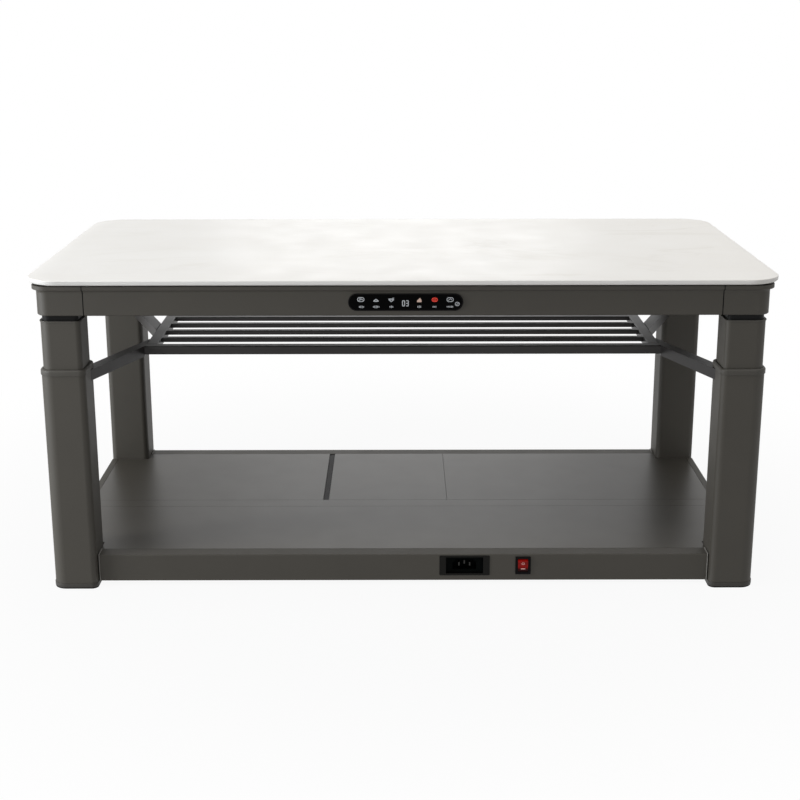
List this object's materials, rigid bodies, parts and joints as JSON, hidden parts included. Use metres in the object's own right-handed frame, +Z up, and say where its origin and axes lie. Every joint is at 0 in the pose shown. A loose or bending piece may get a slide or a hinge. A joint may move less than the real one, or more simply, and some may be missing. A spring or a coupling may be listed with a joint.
{
  "type": "kotatsu table",
  "caption": "Heated low table with a pale stone top on telescopic legs, a slatted rack under the top and a closed foot platform with mains inlet and rocker switch.",
  "frame": {"origin": "on the floor, under the middle of the table", "axes": "+X runs left to right as seen from the panel side, +Y from the panel side to the back, +Z up"},
  "size_m": [1.2, 0.64, 0.525],
  "materials": {
    "slab_stone": "satin sintered stone with faint veins",
    "frame_paint": "fine-textured satin powder coat",
    "deck_paint": "semi-gloss powder coat",
    "rack_steel": "satin powder coat",
    "dark_steel": "near-black satin coat",
    "collar_plastic": "fine-grained matt",
    "black_plastic": "fine-grained matt",
    "inlet_plastic": "satin",
    "panel_glass": "glossy back-printed",
    "rocker_red": "glossy translucent, lit",
    "zinc_steel": "zinc coated",
    "bright_steel": "ground",
    "bright_reflector": "bright rolled",
    "quartz": "satin",
    "heating_mat": "coated woven glass",
    "black_rubber": "matt"
  },
  "bodies": {
    "base": {"base_rail_front": "frame_paint", "base_rail_left": "frame_paint", "base_rail_rear": "frame_paint", "base_rail_right": "frame_paint", "bottom_pan": "zinc_steel", "deck_channel_strip": "black_plastic", "deck_cross_strip": "deck_paint", "deck_panel_front": "deck_paint", "deck_panel_rear_left": "deck_paint", "deck_panel_rear_middle": "deck_paint", "deck_panel_rear_right": "deck_paint", "fascia_end_trims": "collar_plastic", "foot_caps": "black_plastic", "foot_heating_mats": "heating_mat", "inlet_frame": "inlet_plastic", "inlet_pins": "bright_steel", "inlet_socket": "black_plastic", "leg_collars": "collar_plastic", "leg_outer_front_left": "frame_paint", "leg_outer_front_right": "frame_paint", "leg_outer_rear_left": "frame_paint", "leg_outer_rear_right": "frame_paint", "lift_actuators": "zinc_steel", "power_board_box": "black_plastic", "rack_arms": "rack_steel", "rack_rail_front": "rack_steel", "rack_rail_left": "rack_steel", "rack_rail_rear": "rack_steel", "rack_rail_right": "rack_steel", "rack_slats": "rack_steel", "switch_housing": "black_plastic"},
    "top": {"tabletop_slab": "slab_stone", "slab_cushion_strips": "black_rubber", "apron_front": "frame_paint", "apron_rear": "frame_paint", "apron_left": "frame_paint", "apron_right": "frame_paint", "control_panel_bezel": "black_plastic", "control_panel_glass": "panel_glass", "control_panel_housing": "black_plastic", "corner_bolts": "zinc_steel", "crossbeams": "zinc_steel", "heater_pans": "bright_reflector", "heater_grilles": "dark_steel", "heating_tubes": "quartz", "leg_inner_tubes": "dark_steel", "actuator_rods": "bright_steel", "corner_block_front_left": "frame_paint", "corner_block_front_right": "frame_paint", "corner_block_rear_right": "frame_paint", "corner_block_rear_left": "frame_paint"},
    "rocker": {"switch_rocker": "rocker_red"},
    "middle_front_left": {"leg_middle_front_left": "frame_paint", "leg_rim_front_left": "collar_plastic"},
    "middle_front_right": {"leg_middle_front_right": "frame_paint", "leg_rim_front_right": "collar_plastic"},
    "middle_rear_right": {"leg_middle_rear_right": "frame_paint", "leg_rim_rear_right": "collar_plastic"},
    "middle_rear_left": {"leg_middle_rear_left": "frame_paint", "leg_rim_rear_left": "collar_plastic"}
  },
  "joints": [
    {"name": "middle_lift_front_left", "type": "slide", "parent": "base", "child": "middle_front_left", "axis": [0, 0, 1], "range_m": [-0.07, 0.08]},
    {"name": "middle_lift_front_right", "type": "slide", "parent": "base", "child": "middle_front_right", "axis": [0, 0, 1], "range_m": [-0.07, 0.08]},
    {"name": "middle_lift_rear_right", "type": "slide", "parent": "base", "child": "middle_rear_right", "axis": [0, 0, 1], "range_m": [-0.07, 0.08]},
    {"name": "middle_lift_rear_left", "type": "slide", "parent": "base", "child": "middle_rear_left", "axis": [0, 0, 1], "range_m": [-0.07, 0.08]},
    {"name": "top_lift", "type": "slide", "parent": "middle_front_left", "child": "top", "axis": [0, 0, 1], "range_m": [-0.007, 0.147]},
    {"name": "switch_rock", "type": "hinge", "parent": "base", "child": "rocker", "pos_m": [0.2004, -0.2885, 0.0347], "axis": [1, 0, 0], "range_deg": [-20, 0]}
  ],
  "couplings": [
    {"joint": "middle_lift_front_right", "follows": "middle_lift_front_left", "ratio": 1},
    {"joint": "middle_lift_rear_right", "follows": "middle_lift_front_left", "ratio": 1},
    {"joint": "middle_lift_rear_left", "follows": "middle_lift_front_left", "ratio": 1}
  ]
}
